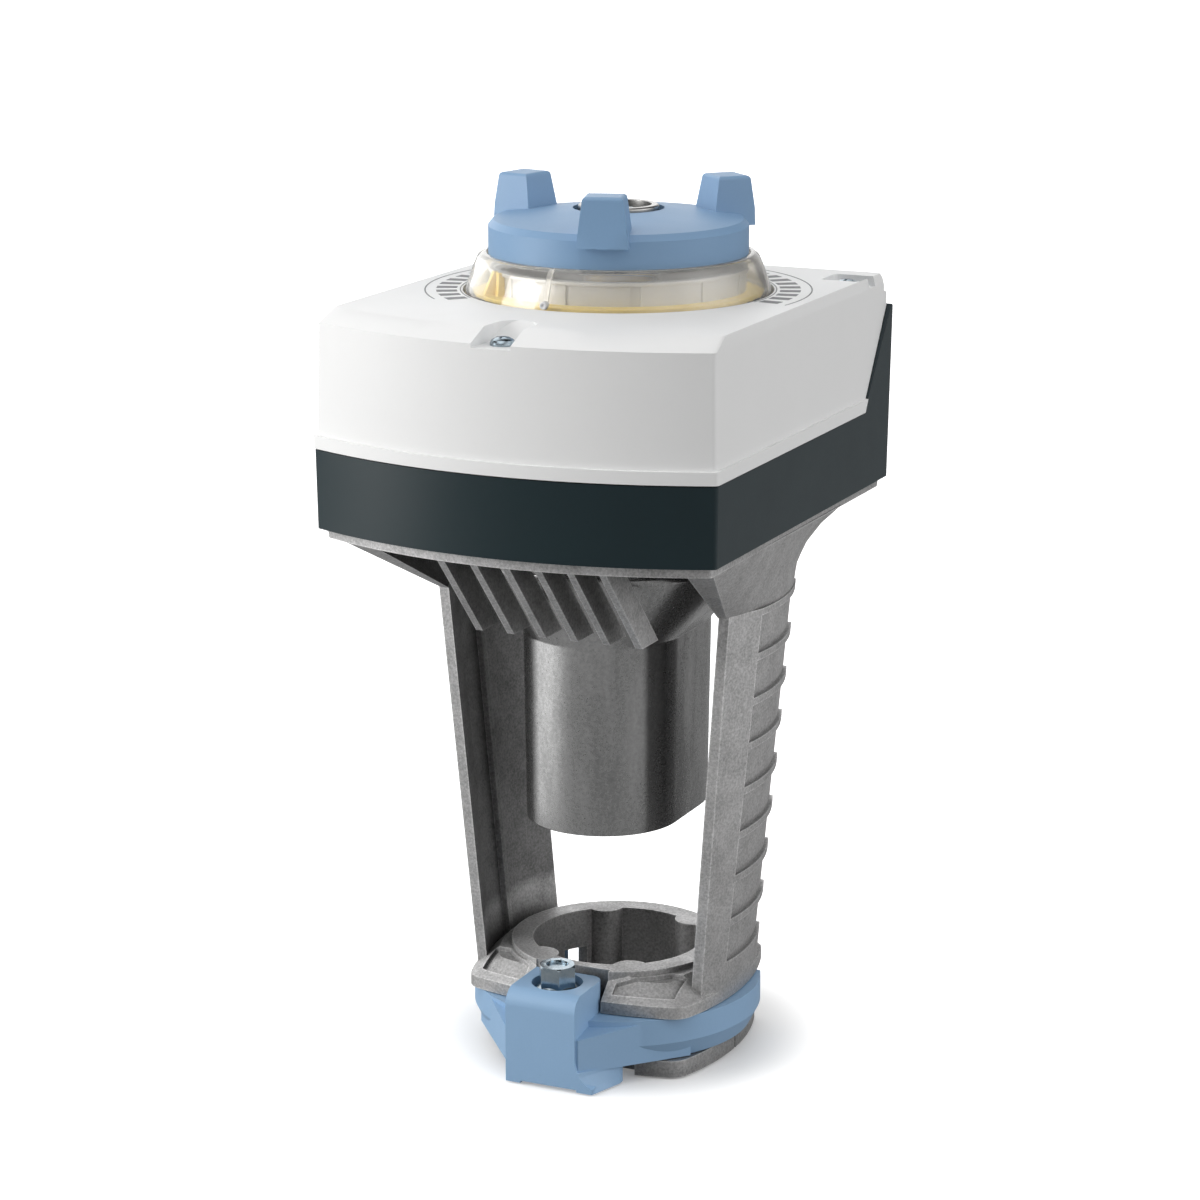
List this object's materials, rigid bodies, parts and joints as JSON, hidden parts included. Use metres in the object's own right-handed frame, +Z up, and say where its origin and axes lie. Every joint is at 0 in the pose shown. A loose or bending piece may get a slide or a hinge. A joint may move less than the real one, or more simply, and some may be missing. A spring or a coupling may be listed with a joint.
{
  "type": "electric valve actuator",
  "caption": "Electric valve actuator: a die-cast yoke with a neck clamp carries a moulded gear housing, a threaded spindle, a dial window and a push-to-turn handwheel.",
  "frame": {"origin": "centre of the valve neck bore at the underside of the collar", "axes": "+Z up along the spindle, -Y towards the bowed front with the clamp's bolt, +Y towards the cable entries, X across the width"},
  "size_m": [0.124, 0.1516, 0.2604],
  "materials": {
    "cast_metal": "bare die casting with a fine grain",
    "turned_metal": "smoother, darker bare casting",
    "blue_paint": "satin blue coating over an aluminium casting",
    "dark_plastic": "fine-grained dark green plastic",
    "white_plastic": "fine-grained white plastic",
    "blue_plastic": "satin blue plastic",
    "clear_plastic": "clear plastic with a faint warm tint",
    "silver_plastic": "silver-grey plastic",
    "yellow_plastic": "yellow plastic",
    "gear_plastic": "natural-coloured gear plastic",
    "steel": "bright steel",
    "zinc_steel": "zinc-plated steel",
    "brass": "turned brass",
    "rubber": "black seal rubber",
    "motor_metal": "drawn steel can",
    "board": "green circuit board",
    "terminal_plastic": "dark grey moulding",
    "copper": "varnished copper winding"
  },
  "bodies": {
    "frame": {"yoke_casting": "cast_metal", "spindle_housing": "turned_metal", "spindle_seal": "rubber", "lower_bearing": "steel", "base_shell": "dark_plastic", "cover_gasket": "rubber", "cover_shell": "white_plastic", "cover_screws": "zinc_steel", "yoke_screws": "zinc_steel", "window_ring": "clear_plastic", "window_seal": "rubber", "retaining_ring": "dark_plastic", "retainer_screws": "zinc_steel", "press_spring": "steel", "dial_plate": "terminal_plastic", "gear_plate": "steel", "plate_pillars": "steel", "upper_bush": "brass", "motor_body": "motor_metal", "gear_axles": "steel", "circuit_board": "board", "terminal_block": "terminal_plastic", "capacitor": "motor_metal", "transformer_core": "motor_metal", "transformer_winding": "copper", "limit_switches": "terminal_plastic", "blanking_plugs": "dark_plastic"},
    "drive_gear": {"drive_gear": "gear_plastic"},
    "spindle": {"spindle": "steel", "stem_coupling": "steel", "coupling_screw": "zinc_steel", "guide_plate": "steel", "guide_clips": "steel"},
    "reducer_gear": {"reducer_gear": "gear_plastic"},
    "motor_rotor": {"motor_pinion": "brass"},
    "dial_idler": {"dial_idler": "gear_plastic"},
    "dial": {"dial_drum": "silver_plastic", "dial_gear": "gear_plastic", "indicator_ring": "yellow_plastic"},
    "handwheel_carrier": {"press_washer": "steel"},
    "handwheel": {"handwheel": "blue_plastic", "handwheel_hub": "steel", "handwheel_shaft": "brass", "hub_screw": "zinc_steel"},
    "clamp": {"clamp_bracket": "blue_paint", "clamp_nut": "zinc_steel"},
    "bolt_seat": {"clamp_washer": "zinc_steel"},
    "clamp_bolt": {"clamp_bolt": "zinc_steel"}
  },
  "joints": [
    {"name": "spindle_stroke", "type": "slide", "parent": "frame", "child": "spindle", "axis": [0, 0, -1], "range_m": [0, 0.04]},
    {"name": "drive_gear_turn", "type": "hinge", "parent": "frame", "child": "drive_gear", "pos_m": [0, 0, 0.176], "axis": [0, 0, -1], "range_deg": [0, 2880]},
    {"name": "reducer_turn", "type": "hinge", "parent": "frame", "child": "reducer_gear", "pos_m": [-0.00869, -0.03648, 0.178], "axis": [0, 0, -1], "continuous": true},
    {"name": "motor_turn", "type": "hinge", "parent": "frame", "child": "motor_rotor", "pos_m": [-0.032, -0.048, 0.186], "axis": [0, 0, -1], "continuous": true},
    {"name": "dial_idler_turn", "type": "hinge", "parent": "frame", "child": "dial_idler", "pos_m": [0.01719, 0.02977, 0.205], "axis": [0, 0, -1], "continuous": true},
    {"name": "indicator_turn", "type": "hinge", "parent": "frame", "child": "dial", "pos_m": [0, 0, 0.214], "axis": [0, 0, -1], "range_deg": [0, 271]},
    {"name": "handwheel_press", "type": "slide", "parent": "frame", "child": "handwheel_carrier", "axis": [0, 0, -1], "range_m": [0, 0.003], "stiffness_N_per_m": 1500, "springref_m": -0.004, "deforming": ["press_spring"]},
    {"name": "handwheel_turn", "type": "hinge", "parent": "handwheel_carrier", "child": "handwheel", "pos_m": [0, 0, 0.245], "axis": [0, 0, -1], "continuous": true},
    {"name": "clamp_shift", "type": "slide", "parent": "frame", "child": "clamp", "axis": [0, 1, 0], "range_m": [0, 0.001]},
    {"name": "clamp_bolt_lift", "type": "slide", "parent": "clamp", "child": "bolt_seat", "axis": [0, 0, 1], "range_m": [0, 0.002]},
    {"name": "clamp_bolt_turn", "type": "hinge", "parent": "bolt_seat", "child": "clamp_bolt", "pos_m": [-0.0015, -0.04, 0.028], "axis": [0, 0, 1], "range_deg": [0, 720]}
  ],
  "couplings": [
    {"joint": "drive_gear_turn", "follows": "spindle_stroke", "rad_per_m": 1256.6},
    {"joint": "reducer_turn", "follows": "spindle_stroke", "rad_per_m": -5026.5},
    {"joint": "motor_turn", "follows": "spindle_stroke", "rad_per_m": 16755},
    {"joint": "dial_idler_turn", "follows": "spindle_stroke", "rad_per_m": -471.24},
    {"joint": "indicator_turn", "follows": "spindle_stroke", "rad_per_m": 117.81},
    {"joint": "clamp_bolt_lift", "follows": "clamp_shift", "ratio": 2},
    {"joint": "clamp_bolt_turn", "follows": "clamp_shift", "rad_per_m": 12566}
  ]
}
